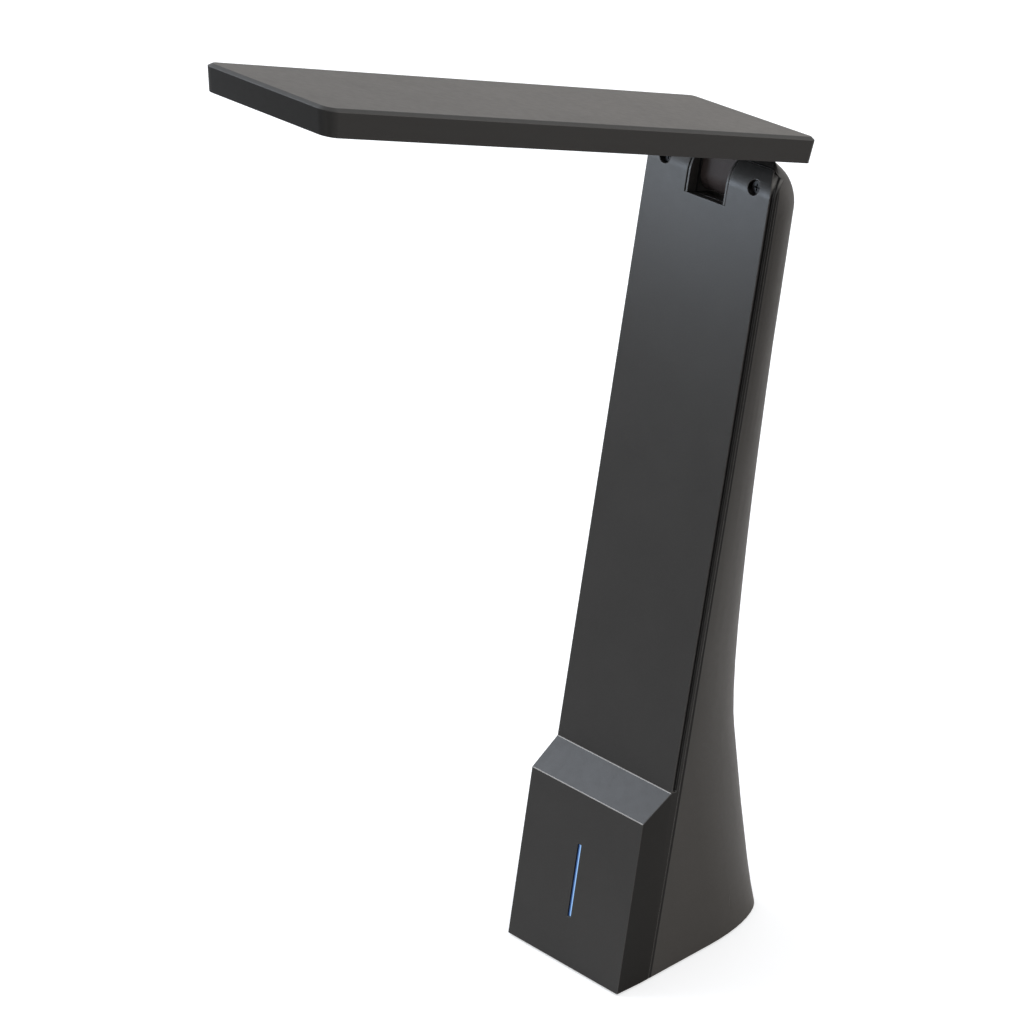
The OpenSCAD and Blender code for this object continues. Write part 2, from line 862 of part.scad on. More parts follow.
module touch_contact() {
  color(copper) in_column() translate([contact_x, 0, contact_up]) {
    rod_y(contact_r, skin - pod_face(contact_up) + pad_foil, board_face);
    rod_y(contact_foot_r, board_face - 3, board_face);
  }
}

module line_light_guide() {
  flange_back = skin - pod_face(line_up) + 1.2;
  reach = line_len / 2 + 1.5;
  color(clear_white) in_column() {
    line_bar(line_w / 2, 0, line_sunk, guide_back);
    block([-guide_flange_half, flange_back - 0.9, line_up - reach],
      [guide_flange_half, flange_back, line_up + reach]);
  }
}

module line_leds() {
  color(blue_light) in_column() for (up = line_led_up)
    block([-line_led_half, guide_back + clear, line_up + up - 1],
      [line_led_half, board_face, line_up + up + 1]);
}

module charge_socket() {
  color(steel) translate([0, socket_y - socket_len, socket_z]) difference() {
    stadium(socket_w, socket_h, socket_len);
    translate([0, -1, 0]) stadium(socket_w - 2 * socket_sheet, socket_h - 2 * socket_sheet, socket_len + 2);
  }
}

module socket_tongue() {
  color("#2a2a2c") translate([0, socket_y - socket_len, socket_z]) {
    stadium(socket_w - 2 * socket_sheet, socket_h - 2 * socket_sheet, 1.6);
    block([-tongue_half, 1, -tongue_t / 2], [tongue_half, socket_len - 0.8, tongue_t / 2]);
  }
}

module socket_board() {
  color(board_green) difference() {
    block([-socket_board_half, socket_y - socket_board_len, socket_board_z],
      [socket_board_half, socket_y - 2.2, socket_z - socket_h / 2]);
    both_sides() translate([socket_post_x, socket_post_y, 0])
      rod_z(screw_shank_r + clear, 0, far / 10);
  }
}

module socket_screws() {
  color(steel) both_sides() translate([socket_post_x, socket_post_y, socket_z - socket_h / 2])
    screw(small_head_r, small_head_h, pilot_r, socket_screw_len);
}

module cover_screws() {
  color(steel) in_column() both_sides()
    translate([screw_x, recess_depth, axis_up + screw_up]) rotate([90, 0, 0])
      screw(screw_head_r, screw_head_h, screw_shank_r, cover_screw_len);
}

// Angle bracket behind one ear: a plate for the screws and a leaf that holds the shaft.
module hinge_bracket() {
  plate_back = bracket_face + bracket_t;
  in_column() difference() {
    union() {
      block([leaf_in, bracket_face, axis_up - bracket_low],
        [bracket_outer, plate_back, axis_up + bracket_top]);
      block([leaf_in, bracket_face, axis_up - leaf_r], [leaf_out, ear_r, axis_up + bracket_top]);
      translate([0, ear_r, axis_up]) rod_x(leaf_r, leaf_in, leaf_out);
    }
    translate([0, ear_r, axis_up]) rod_x(shaft_r + running, leaf_in - 1, leaf_out + 1);
    translate([screw_x, 0, axis_up + screw_up])
      rod_y(screw_shank_r + running, bracket_face - 1, plate_back + 1);
    for (up = bracket_screws) translate([bracket_screw_x, 0, axis_up + up])
      rod_y(screw_shank_r + clear, bracket_face - 1, plate_back + 1);
  }
}

module hinge_bracket_right() {
  color(steel) hinge_bracket();
}

module hinge_bracket_left() {
  color(steel) mirror([1, 0, 0]) hinge_bracket();
}

module bracket_screws() {
  color(steel) in_column() for (up = bracket_screws) both_sides()
    translate([bracket_screw_x, bracket_face, axis_up + up]) rotate([90, 0, 0])
      screw(screw_head_r, screw_head_h, pilot_r, bracket_screw_len);
}

// Lead from the control board up to the left end of the hollow hinge shaft.
module column_wire() {
  end = -shaft_half - 0.3;
  color(rubber_black) in_column() wire([
    [-14, 6.8, 49.5], [-14, 6.8, 60], [end - 3, ear_r, 78], [end - 3, ear_r, axis_up - 2.4],
    [end - 2.5, ear_r, axis_up - 0.8], [end - 1.5, ear_r, axis_up], [end, ear_r, axis_up]
  ], wire_r);
}

module battery_wires() {
  board_back = board_face + board_t;
  color("#a03028") in_column() {
    wire([[0, cell_t, cell_a + cell_len + cell_button_h], [0, cell_t, cell_a + cell_len + 3.6],
      [3, 8, cell_a + cell_len + 2], [3, 6.8, 60], [3, 6.8, 49.5]], thin_wire_r);
    wire([[-4, cell_t - 4, cell_a], [-4, cell_t - 4, cell_a - 3.4], [-4, board_back, cell_a - 3.4]],
      thin_wire_r);
  }
}

// Lead from the charging socket's board to the control board.
module charge_wire() {
  x = 5.5;
  end = col_point(board_face + board_t, 13.6) + [charge_wire_r * sl / cl, 0];
  top = socket_z - socket_h / 2 + charge_wire_r;
  front = socket_y - socket_board_len;
  color(rubber_black) wire([[x, front + 1.8, top], [x, front - 3, top], [x, front - 10, end[1]],
    [x, end[0], end[1]]], charge_wire_r);
}

module hinge_shaft() {
  color(steel) in_head() difference() {
    union() {
      rod_x(shaft_r, -shaft_half, shaft_half);
      rod_x(shoulder_r, -ear_wall_out, ear_wall_out);
    }
    rod_x(wire_bore_r, -far / 4, far / 4);
    rod_z(wire_bore_r, 0, far / 10);
  }
}

module hinge_knuckle() {
  color(graphite_dark) in_head() difference() {
    union() {
      rod_x(barrel_r, -barrel_half, barrel_half);
      block([-barrel_half, -barrel_r, 0], [barrel_half, neck_rear, flange_z + 0.5]);
      block([-flange_half, flange_front, flange_z], [flange_half, neck_rear, flange_z + flange_t]);
    }
    rod_x(shoulder_r, -far / 4, far / 4);
    rod_z(wire_bore_r, 0, far / 10);
    for (y = flange_screws) both_sides() translate([flange_screw_x, y, 0]) rod_z(small_hole_r, 0, far / 10);
  }
}

module knuckle_screws() {
  color(steel) in_head() for (y = flange_screws) both_sides()
    translate([flange_screw_x, y, flange_z]) rotate([180, 0, 0])
      screw(small_head_r, small_head_h, pilot_r, flange_screw_len);
}

module ring_x(r_in, r_out, x0, x1) {
  difference() {
    rod_x(r_out, x0, x1);
    rod_x(r_in, x0 - 1, x1 + 1);
  }
}

module friction_washers() {
  color("#d8c9a0") in_head() both_sides() for (x = [washer_in, washer_out])
    ring_x(shaft_r + running, washer_r, x, x + washer_t);
}

module disc_springs() {
  bore = shaft_r + clear;
  outer = washer_r - 2 * clear;
  thick = spring_t;
  color(steel) in_head() both_sides() translate([spring_in, 0, 0]) rotate([0, 90, 0])
    rotate_extrude() polygon([
      [bore, spring_len - thick], [bore, spring_len], [outer, thick], [outer, 0]
    ]);
}

module shaft_nuts() {
  color(steel) in_head() both_sides() difference() {
    translate([nut_in, 0, 0]) rotate([0, 90, 0]) cylinder(r = nut_r, h = nut_len, $fn = 6);
    rod_x(shaft_r + running, 0, far / 10);
  }
}

// Outline of the head at one height: one inset draws in its sides and rear, another its front.
function head_ring(inset, front_inset, z) =
  let (
    f = front_corner - inset,
    r = rear_corner - inset,
    w = head_w / 2 - inset,
    y0 = head_front + front_inset,
    y1 = overhang - inset
  )
  [for (q = [[w - r, y1 - r, 0, r], [r - w, y1 - r, 90, r],
      [f - w, y0 + f, 180, f], [w - f, y0 + f, 270, f]],
    i = [0 : corner_steps - 1]) let (g = q[2] + 90 * i / (corner_steps - 1))
    [q[0] + q[3] * cos(g), q[1] + q[3] * sin(g), z]];

module head_cover() {
  inner = head_wall + head_draft;
  color(graphite) in_head() difference() {
    union() {
      difference() {
        loft([head_ring(head_draft, front_lean, under_z), head_ring(0, 0, top_z - bevel_h),
          head_ring(bevel_w, bevel_w, top_z)]);
        translate([0, 0, under_z - 1]) linear_extrude(ceiling_z - under_z + 1)
          round_rect([inner - head_w / 2, head_front + front_lean + head_wall],
            [head_w / 2 - inner, overhang - inner], front_corner - inner, rear_corner - inner);
      }
      both_sides() {
        for (y = [head_screw_front, head_screw_rear])
          translate([head_screw_x, y, 0]) rod_z(head_boss_r, bezel_z, ceiling_z + 0.5);
        for (y = flange_screws)
          translate([flange_screw_x, y, 0]) rod_z(flange_boss_r, flange_z + flange_t, ceiling_z + 0.5);
      }
    }
    both_sides() {
      for (y = [head_screw_front, head_screw_rear])
        translate([head_screw_x, y, 0]) rod_z(pilot_r, 0, bezel_z + bezel_screw_len - 0.4);
      for (y = flange_screws)
        translate([flange_screw_x, y, 0]) rod_z(pilot_r, 0, flange_z + flange_screw_len + 0.1);
    }
  }
}

module head_bezel() {
  color(graphite_dark) in_head() difference() {
    translate([0, 0, under_z]) linear_extrude(bezel_t)
      round_rect([-frame_half, frame_front], [frame_half, frame_rear],
        front_corner - head_wall - frame_fit, rear_corner - head_wall - frame_fit);
    block([-window_half, window_front, 0], [window_half, window_rear, far / 10]);
    block([-barrel_half - 0.2, -barrel_r - 0.2, 0], [barrel_half + 0.2, far / 10, far / 10]);
    both_sides() for (y = [head_screw_front, head_screw_rear]) translate([head_screw_x, y, 0]) {
      rod_z(small_head_r + 0.2, 0, under_z + bezel_sink);
      rod_z(small_hole_r, 0, far / 10);
    }
  }
}

module bezel_screws() {
  color(steel) in_head() both_sides() for (y = [head_screw_front, head_screw_rear])
    translate([head_screw_x, y, under_z + bezel_sink]) rotate([180, 0, 0])
      screw(small_head_r, bezel_head_h, pilot_r, bezel_screw_len);
}

module diffuser() {
  color(opal) in_head() block([clear - window_half, window_front + clear, bezel_z - diffuser_t],
    [window_half - clear, window_rear - clear, bezel_z]);
}

module light_guide() {
  color(clear_white) in_head()
    block([-panel_half, optic_front, bezel_z], [panel_half, optic_rear, bezel_z + guide_t]);
}

module reflector() {
  color("#f5f5f2") in_head() block([-panel_half, optic_front, bezel_z + guide_t],
    [panel_half, optic_rear, bezel_z + guide_t + reflector_t]);
}

module led_boards() {
  x = panel_half + clear + led_d;
  color(board_green) in_head() both_sides()
    block([x, window_front, bezel_z], [x + led_board_t, window_rear, bezel_z + led_board_h]);
}

module head_leds() {
  x = panel_half + clear;
  pitch = (window_rear - window_front) / led_count;
  color("#f3e9b8") in_head() both_sides() for (i = [0 : led_count - 1]) {
    y = window_front + (i + 0.5) * pitch - led_len / 2;
    block([x, y, bezel_z + 0.4], [x + led_d, y + led_len, bezel_z + 0.4 + led_h]);
  }
}

// Foam between the reflector and the cover, which presses the light panel on its bezel.
module foam_strips() {
  color(foam_grey) in_head() for (x = strip_x)
    block([x - strip_w / 2, window_front, bezel_z + guide_t + reflector_t],
      [x + strip_w / 2, window_rear, ceiling_z]);
}

// Lead through the hollow shaft and up the knuckle, which forks to the two rows of lights.
module head_wires() {
  run_z = (flange_z + flange_t + ceiling_z) / 2;
  fork_y = flange_front - 2.6;
  end_x = panel_half + clear + led_d + led_board_t / 2;
  end_z = bezel_z + led_board_h / 2;
  color(rubber_black) in_head() {
    wire([[-shaft_half - 0.3 + running, 0, 0], [0, 0, 0], [0, 0, run_z], [0, fork_y, run_z]], wire_r);
    both_sides() wire([[0, fork_y, run_z], [end_x, fork_y - 3, end_z], [end_x, window_rear, end_z]],
      thin_wire_r);
  }
}

front_cover();
rear_shell();
base_plate();
base_screws();
foot_pad();
ballast();
battery_cell();
battery_cradle();
cradle_screws();
control_board();
board_chips();
board_screws();
touch_pad();
touch_contact();
line_light_guide();
line_leds();
charge_socket();
socket_tongue();
socket_board();
socket_screws();
cover_screws();
hinge_bracket_left();
hinge_bracket_right();
bracket_screws();
column_wire();
battery_wires();
charge_wire();
hinge_shaft();
hinge_knuckle();
knuckle_screws();
friction_washers();
disc_springs();
shaft_nuts();
head_cover();
head_bezel();
bezel_screws();
diffuser();
light_guide();
reflector();
led_boards();
head_leds();
foam_strips();
head_wires();
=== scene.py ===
import json
import math

import bmesh
import bpy
from mathutils import Matrix, Vector


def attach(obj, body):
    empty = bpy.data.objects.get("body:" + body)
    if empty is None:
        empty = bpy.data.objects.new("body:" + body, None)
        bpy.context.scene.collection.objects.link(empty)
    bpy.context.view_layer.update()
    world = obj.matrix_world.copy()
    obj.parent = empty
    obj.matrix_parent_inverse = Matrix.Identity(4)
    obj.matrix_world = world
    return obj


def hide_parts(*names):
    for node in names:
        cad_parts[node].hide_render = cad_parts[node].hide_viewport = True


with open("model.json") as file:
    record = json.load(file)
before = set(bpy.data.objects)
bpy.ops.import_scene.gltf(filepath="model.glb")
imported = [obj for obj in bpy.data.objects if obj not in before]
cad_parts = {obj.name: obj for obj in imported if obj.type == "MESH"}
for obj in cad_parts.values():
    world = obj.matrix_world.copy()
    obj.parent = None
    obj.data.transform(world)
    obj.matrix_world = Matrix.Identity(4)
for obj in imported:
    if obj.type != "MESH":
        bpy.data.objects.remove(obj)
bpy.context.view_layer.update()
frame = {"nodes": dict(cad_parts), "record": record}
nodes = frame["nodes"]
scene = bpy.context.scene
MM = 0.001


# Camera, at the photograph's angle. Its place is in millimetres and its angles are in degrees.
CAMERA_PLACE = (853.67, -778.36, 745.77)
CAMERA_AZIMUTH = 49.4765
CAMERA_ELEVATION = 26.9622
CAMERA_ROLL = -2.8951
CAMERA_LENS = 141.614
SENSOR_WIDTH = 36
CLIP_START = 0.05
CLIP_END = 30


def place_camera():
    """Adds the camera and makes it the one that the scene is seen through."""
    azimuth = math.radians(CAMERA_AZIMUTH)
    elevation = math.radians(CAMERA_ELEVATION)
    roll = math.radians(CAMERA_ROLL)
    back = Vector((math.sin(azimuth) * math.cos(elevation), -math.cos(azimuth) * math.cos(elevation),
                   math.sin(elevation)))
    right = Vector((math.cos(azimuth), math.sin(azimuth), 0))
    up = back.cross(right)
    turned_right = right * math.cos(roll) + up * math.sin(roll)
    turned_up = up * math.cos(roll) - right * math.sin(roll)
    data = bpy.data.cameras.new("camera")
    data.sensor_width = SENSOR_WIDTH
    data.lens = CAMERA_LENS
    data.clip_start = CLIP_START
    data.clip_end = CLIP_END
    camera = bpy.data.objects.new("camera", data)
    scene.collection.objects.link(camera)
    basis = Matrix((turned_right, turned_up, back)).transposed().to_4x4()
    camera.matrix_world = Matrix.Translation(Vector(CAMERA_PLACE) * MM) @ basis
    scene.camera = camera


place_camera()
scene.view_settings.view_transform = "Standard"


# Node trees.

# Nearly all values of a noise lie between these two.
NOISE_LOW = 0.3
NOISE_HIGH = 0.7


class Nodes:
    """A node tree with short calls."""

    def __init__(self, tree):
        self.tree = tree

    def node(self, kind, inputs=None, **settings):
        """Adds a node. A value given for an input is a socket to link, or else a constant."""
        made = self.tree.nodes.new(kind)
        for key, value in settings.items():
            setattr(made, key, value)
        for key, value in (inputs or {}).items():
            self.feed(made.inputs[key], value)
        return made

    def feed(self, socket, value):
        if isinstance(value, bpy.types.NodeSocket):
            self.tree.links.new(value, socket)
        else:
            socket.default_value = value

    def math(self, operation, a, b=0.0):
        return self.node("ShaderNodeMath", {0: a, 1: b}, operation=operation).outputs[0]

    def axes(self, vector):
        """The X, Y and Z of a vector, as sockets."""
        return self.node("ShaderNodeSeparateXYZ", {"Vector": vector}).outputs

    def dot(self, a, b):
        return self.node("ShaderNodeVectorMath", {0: a, 1: b}, operation="DOT_PRODUCT").outputs["Value"]


class Shader(Nodes):
    """A material's node tree, with calls for what its surface shows."""

    SOCKETS = {"color": "Base Color", "rough": "Roughness", "metal": "Metallic", "normal": "Normal",
               "spec": "Specular IOR Level", "coat": "Coat Weight", "subsurface": "Subsurface Weight",
               "glow": "Emission Color", "glow_strength": "Emission Strength"}

    def __init__(self, name):
        self.material = bpy.data.materials.new(name)
        self.material.use_nodes = True
        super().__init__(self.material.node_tree)
        self.bsdf = self.tree.nodes["Principled BSDF"]

    def set(self, **values):
        for key, value in values.items():
            self.feed(self.bsdf.inputs[self.SOCKETS[key]], value)

    def place(self):
        return self.node("ShaderNodeTexCoord").outputs["Object"]

    def noise(self, scale, detail=3.0, roughness=0.5, vector=None):
        inputs = {"Vector": vector or self.place(), "Scale": scale, "Detail": detail, "Roughness": roughness}
        return self.node("ShaderNodeTexNoise", inputs).outputs["Fac"]

    def ramp(self, fac, low, high, out_low, out_high):
        inputs = {"Value": fac, "From Min": low, "From Max": high, "To Min": out_low, "To Max": out_high}
        return self.node("ShaderNodeMapRange", inputs).outputs["Result"]

    def rise(self, fac, ends):
        """From 0 at the first end to 1 at the second."""
        return self.ramp(fac, *ends, 0.0, 1.0)

    def fall(self, fac, ends):
        """From 1 at the first end to 0 at the second."""
        return self.ramp(fac, *ends, 1.0, 0.0)

    def spread(self, noise, low, high):
        """A noise stretched over a range."""
        return self.ramp(noise, NOISE_LOW, NOISE_HIGH, low, high)

    def mix(self, fac, a, b):
        """From the colour a to the colour b."""
        return self.node("ShaderNodeMix", {0: fac, 6: a, 7: b}, data_type="RGBA").outputs[2]

    def bump(self, height, strength, distance, normal=None):
        inputs = {"Height": height, "Strength": strength, "Distance": distance}
        if normal is not None:
            inputs["Normal"] = normal
        return self.node("ShaderNodeBump", inputs).outputs["Normal"]


def rgb(r, g, b):
    return (r, g, b, 1.0)


def lighter(color, k):
    return rgb(*(min(channel * k, 1) for channel in color[:3]))


# Materials. Scales of noise are per metre, and depths of bumps are in metres.

# Plastic: broad blotches, a middle noise in its gloss, and a fine grain with pale specks.
BROAD_SCALE = 38.0
MID_SCALE = 420.0
BLOTCH = 0.05
ROUGH_BLOTCH = 0.015
GLOSS_SPREAD = 0.02
SPECK_ENDS = (0.45, 0.8)
SPECK_SHARE = 0.22
SPECK_LIGHTER = 1.7
GRAIN_BUMP = 0.35
MID_BUMP = 0.12
SHALLOW = 0.00001

# Painted light and shade: walls that face sideways or forwards get a lighter or darker colour of their own,
# by the axes of the object's own normal.
SIDEWAYS = (0.75, 0.95)
FORWARDS = (-0.95, -0.8)

# The thin parting groove on the rear shell, painted dark and rougher as a painted shade. It runs parallel to
# the leaning front face.
LEAN = math.radians(14.35)
PARTING_DEPTH = -0.02189
PARTING_HALF_WIDTH = (0.00035, 0.0005)
PARTING_SHADE = rgb(0.002, 0.002, 0.002)
PARTING_ROUGHER = 0.5

# Rounded edges. Where the rounded normal leaves the flat one, the surface is lighter and glossier: partly
# wear, partly a painted highlight.
BEVEL_SAMPLES = 8
WEAR_HIGHLIGHT_ENDS = (0.998, 0.97)
WEAR_HIGHLIGHT_LEAST = 0.8

# The painted highlight on the edges of the pod's slope: where the rounded normal lies between the slope's and
# the walls', with little X, and only between two heights.
SLOPE_TILT_FROM = (0.3, 0.36)
SLOPE_TILT_TO = (0.82, 0.87)
SLOPE_LEVEL = (0.12, 0.25)
SLOPE_FOOT = (0.044, 0.049)
SLOPE_TOP = (0.12, 0.13)


def paint_wall_light(s, shade, side_painted_light, front_painted_shade):
    """Paints light and shade on the walls that face sideways or forwards, as a colour of their own."""
    normal = s.axes(s.node("ShaderNodeTexCoord").outputs["Normal"])
    # Painted light and shade: sideways walls take the side colour, forward walls the front colour.
    if side_painted_light:
        shade = s.mix(s.rise(s.math("ABSOLUTE", normal["X"]), SIDEWAYS), shade, side_painted_light)
    if front_painted_shade:
        shade = s.mix(s.fall(normal["Y"], FORWARDS), shade, front_painted_shade)
    return shade


def parting_groove_shade(s, place):
    """1 on the parting line, where the groove's shade is painted, and 0 beside it."""
    depth = s.dot(place, (0.0, math.cos(LEAN), -math.sin(LEAN)))
    off = s.math("ABSOLUTE", s.math("SUBTRACT", depth, PARTING_DEPTH))
    return s.fall(off, PARTING_HALF_WIDTH)


def slope_edge_highlight(s, place, soft):
    """1 where the highlight on the edges of the pod's slope is painted and 0 elsewhere, from the rounded
    normal.
    """
    turned = s.axes(soft)
    up = s.axes(place)["Z"]
    level = s.fall(s.math("ABSOLUTE", turned["X"]), SLOPE_LEVEL)
    near = s.math("MULTIPLY", s.fall(up, SLOPE_TOP), s.rise(up, SLOPE_FOOT))
    band = s.math("MULTIPLY", s.rise(turned["Z"], SLOPE_TILT_FROM), s.fall(turned["Z"], SLOPE_TILT_TO))
    return s.math("MULTIPLY", s.math("MULTIPLY", near, level), band)


def plastic(name, color, rough, spec=0.5, grain=2600.0, grain_depth=0.000012, edge=0.0, edge_rough=0.0,
            edge_wear_highlight=1.0, side_painted_light=None, front_painted_shade=None, slope_highlight=None, groove_shaded=False, coat=0.0):
    """Moulded or coated plastic: fine grain, faint blotches, softly rounded edges, lighter partly from wear
    and partly as a painted highlight.

    edge is the radius of the rounding in millimetres. The rounded edge is glossier by edge_rough, and lighter
    by the factor edge_wear_highlight, partly as wear and partly as a painted highlight.
    """
    s = Shader(name)
    place = s.place()
    broad = s.noise(BROAD_SCALE, detail=4.0, roughness=0.6, vector=place)
    fine = s.noise(grain, detail=2.0, roughness=0.6, vector=place)
    mid = s.noise(MID_SCALE, vector=place)
    shade = s.mix(s.spread(broad, 0.0, 1.0), lighter(color, 1 - BLOTCH), lighter(color, 1 + BLOTCH))
    shade = s.mix(s.ramp(fine, *SPECK_ENDS, 0.0, SPECK_SHARE), shade, lighter(color, SPECK_LIGHTER))
    gloss = s.math("ADD", s.spread(broad, rough - ROUGH_BLOTCH, rough + ROUGH_BLOTCH),
                   s.spread(mid, -GLOSS_SPREAD, GLOSS_SPREAD))
    if side_painted_light or front_painted_shade:
        shade = paint_wall_light(s, shade, side_painted_light, front_painted_shade)
    # Painted shade in the parting groove: darker and rougher along it.
    if groove_shaded:
        line = parting_groove_shade(s, place)
        shade = s.mix(line, shade, PARTING_SHADE)
        gloss = s.math("ADD", gloss, s.math("MULTIPLY", line, PARTING_ROUGHER))
    soft = None
    if edge:
        soft = s.node("ShaderNodeBevel", {"Radius": edge * MM}, samples=BEVEL_SAMPLES).outputs["Normal"]
        bend = s.dot(soft, s.node("ShaderNodeNewGeometry").outputs["Normal"])
        # Rounded edges lighter and glossier: partly wear, partly a painted highlight.
        wear_highlight_mask = s.math("MULTIPLY", s.rise(bend, WEAR_HIGHLIGHT_ENDS), s.spread(mid, WEAR_HIGHLIGHT_LEAST, 1.0))
        shade = s.mix(wear_highlight_mask, shade, lighter(color, edge_wear_highlight))
        gloss = s.math("SUBTRACT", gloss, s.math("MULTIPLY", wear_highlight_mask, edge_rough))
        # Painted highlight on the edges of the pod's slope.
        if slope_highlight:
            shade = s.mix(slope_edge_highlight(s, place, soft), shade, slope_highlight)
    s.set(color=shade, rough=gloss, spec=spec, coat=coat)
    s.set(normal=s.bump(fine, GRAIN_BUMP, grain_depth, s.bump(mid, MID_BUMP, SHALLOW, soft)))
    return s.material


# Metal: fine tool marks in its gloss and bump, and stains in its colour.
STAIN_SCALE = 140.0
STAIN_ENDS = (0.35, 0.7)
STAIN_SHARE = 0.5
STAIN_DARKER = 0.7
MARKS_SMOOTHER = 0.07
MARKS_ROUGHER = 0.09
MARKS_BUMP = 0.2


def metal(name, color, rough, stretch=(1.0, 1.0, 1.0), scale=900.0):
    """Metal with fine tool marks and small stains. The marks run across the axis that stretch makes finer."""
    s = Shader(name)
    mapping = s.node("ShaderNodeMapping", {"Vector": s.place(), "Scale": stretch})
    marks = s.noise(scale, roughness=0.6, vector=mapping.outputs["Vector"])
    stain = s.noise(STAIN_SCALE, detail=4.0, roughness=0.6)
    shade = s.mix(s.ramp(stain, *STAIN_ENDS, 0.0, STAIN_SHARE), color, lighter(color, STAIN_DARKER))
    gloss = s.spread(marks, rough - MARKS_SMOOTHER, rough + MARKS_ROUGHER)
    s.set(color=shade, metal=1.0, rough=gloss, normal=s.bump(marks, MARKS_BUMP, SHALLOW))
    return s.material


def opal(name):
    """Opal plastic, finely frosted, with light spreading a little inside it."""
    s = Shader(name)
    fine = s.noise(scale=3000.0, detail=2.0, roughness=0.6)
    broad = s.noise(scale=60.0)
    shade = s.mix(broad, rgb(0.76, 0.755, 0.73), rgb(0.82, 0.815, 0.8))
    s.set(color=shade, rough=s.spread(fine, low=0.42, high=0.54), subsurface=0.15)
    s.set(normal=s.bump(fine, strength=0.3, distance=SHALLOW))
    s.bsdf.inputs["Subsurface Radius"].default_value = (0.002, 0.002, 0.002)
    return s.material


def clear_guide(name):
    """Polished pale plastic with printed dots."""
    s = Shader(name)
    dots = s.node("ShaderNodeTexVoronoi", {"Vector": s.place(), "Scale": 700.0}).outputs["Distance"]
    shade = s.mix(s.fall(dots, (0.2, 0.3)), rgb(0.7, 0.74, 0.76), rgb(0.9, 0.9, 0.9))
    s.set(color=shade, rough=s.ramp(dots, 0.2, 0.4, 0.35, 0.12))
    return s.material


# The lit line's glow is palest a little right of its middle and painted deep blue at its sides as a painted
# shade, by its X in metres.
LINE_LEFT = (-0.0003, -0.0001)
LINE_RIGHT = (0.00022, 0.00048)
LINE_PAINTED_SHADE = rgb(0.002, 0.02, 0.09)
LINE_PALE = rgb(0.27, 0.48, 0.76)
LINE_STRENGTH = 0.9


def lit_line(name):
    """Frosted clear plastic with blue light behind it."""
    s = Shader(name)
    place = s.place()
    across = s.axes(place)["X"]
    middle = s.math("MULTIPLY", s.rise(across, LINE_LEFT), s.fall(across, LINE_RIGHT))
    fine = s.noise(scale=2400.0, detail=2.0, roughness=0.6, vector=place)
    # Painted shade: the glow falls to deep blue at the line's sides.
    s.set(color=rgb(0.1, 0.2, 0.45), glow=s.mix(middle, LINE_PAINTED_SHADE, LINE_PALE), glow_strength=LINE_STRENGTH,
          rough=s.spread(fine, low=0.35, high=0.5))
    return s.material


PLASTICS = {
    # cover_coat: side walls painted near black as painted shade, and the slope's edges get a painted
    # highlight.
    "cover_coat": dict(color=rgb(0.0360, 0.0345, 0.0330), rough=0.37, spec=0.3, edge=0.45, edge_rough=0.14,
                       edge_wear_highlight=2.0, side_painted_light=rgb(0.002, 0.0018, 0.0016), slope_highlight=rgb(0.5, 0.475, 0.45)),
    # shell_plastic: painted shade along its parting groove.
    "shell_plastic": dict(color=rgb(0.0355, 0.033, 0.0305), rough=0.4, spec=0.4, grain=2200.0, edge=0.25,
                          edge_rough=0.1, edge_wear_highlight=1.6, groove_shaded=True),
    # head_coat: side walls painted lighter as painted light, and the front wall painted darker as painted
    # shade.
    "head_coat": dict(color=rgb(0.022, 0.021, 0.0197), rough=0.5, spec=0.4, edge=0.3, edge_rough=0.1,
                      edge_wear_highlight=1.6, side_painted_light=rgb(0.034, 0.0325, 0.031),
                      front_painted_shade=rgb(0.006, 0.006, 0.006)),
    "dark_plastic": dict(color=rgb(0.022, 0.022, 0.022), rough=0.5, grain=1800.0),
    "knuckle_plastic": dict(color=rgb(0.056, 0.044, 0.041), rough=0.5, spec=0.12, grain_depth=0.000004,
                            edge=0.2),
    "bezel_plastic": dict(color=rgb(0.026, 0.026, 0.027), rough=0.48, grain=2000.0, edge=0.2),
    "pad_rubber": dict(color=rgb(0.013, 0.013, 0.013), rough=0.75, grain=1500.0, grain_depth=0.00004),
    "chip_black": dict(color=rgb(0.02, 0.02, 0.021), rough=0.5),
    "washer_plastic": dict(color=rgb(0.55, 0.46, 0.3), rough=0.4),
    "reflector_white": dict(color=rgb(0.86, 0.86, 0.84), rough=0.35),
    "foam": dict(color=rgb(0.09, 0.09, 0.09), rough=0.9, grain=1200.0, grain_depth=0.0002),
    "wire_black": dict(color=rgb(0.015, 0.015, 0.015), rough=0.4),
    "wire_red": dict(color=rgb(0.3, 0.02, 0.015), rough=0.4),
    "cell_wrap": dict(color=rgb(0.05, 0.14, 0.42), rough=0.25, coat=0.3),
    "board_green": dict(color=rgb(0.012, 0.1, 0.045), rough=0.3, coat=0.3),
    "board_white": dict(color=rgb(0.7, 0.7, 0.68), rough=0.35),
    "led_yellow": dict(color=rgb(0.8, 0.62, 0.18), rough=0.3),
    "screw_black": dict(color=rgb(0.007, 0.007, 0.008), rough=0.42, spec=0.2, edge=0.08),
}
METALS = {
    "ballast_iron": dict(color=rgb(0.16, 0.155, 0.15), rough=0.6, scale=400.0),
    "copper": dict(color=rgb(0.75, 0.36, 0.2), rough=0.3),
    "socket_steel": dict(color=rgb(0.5, 0.5, 0.51), rough=0.28, stretch=(1.0, 12.0, 1.0)),
    "bracket_steel": dict(color=rgb(0.45, 0.45, 0.46), rough=0.35, stretch=(1.0, 1.0, 8.0)),
    "shaft_steel": dict(color=rgb(0.5, 0.5, 0.51), rough=0.25, stretch=(14.0, 1.0, 1.0)),
    "screw_steel": dict(color=rgb(0.22, 0.22, 0.225), rough=0.3, scale=1500.0),
}
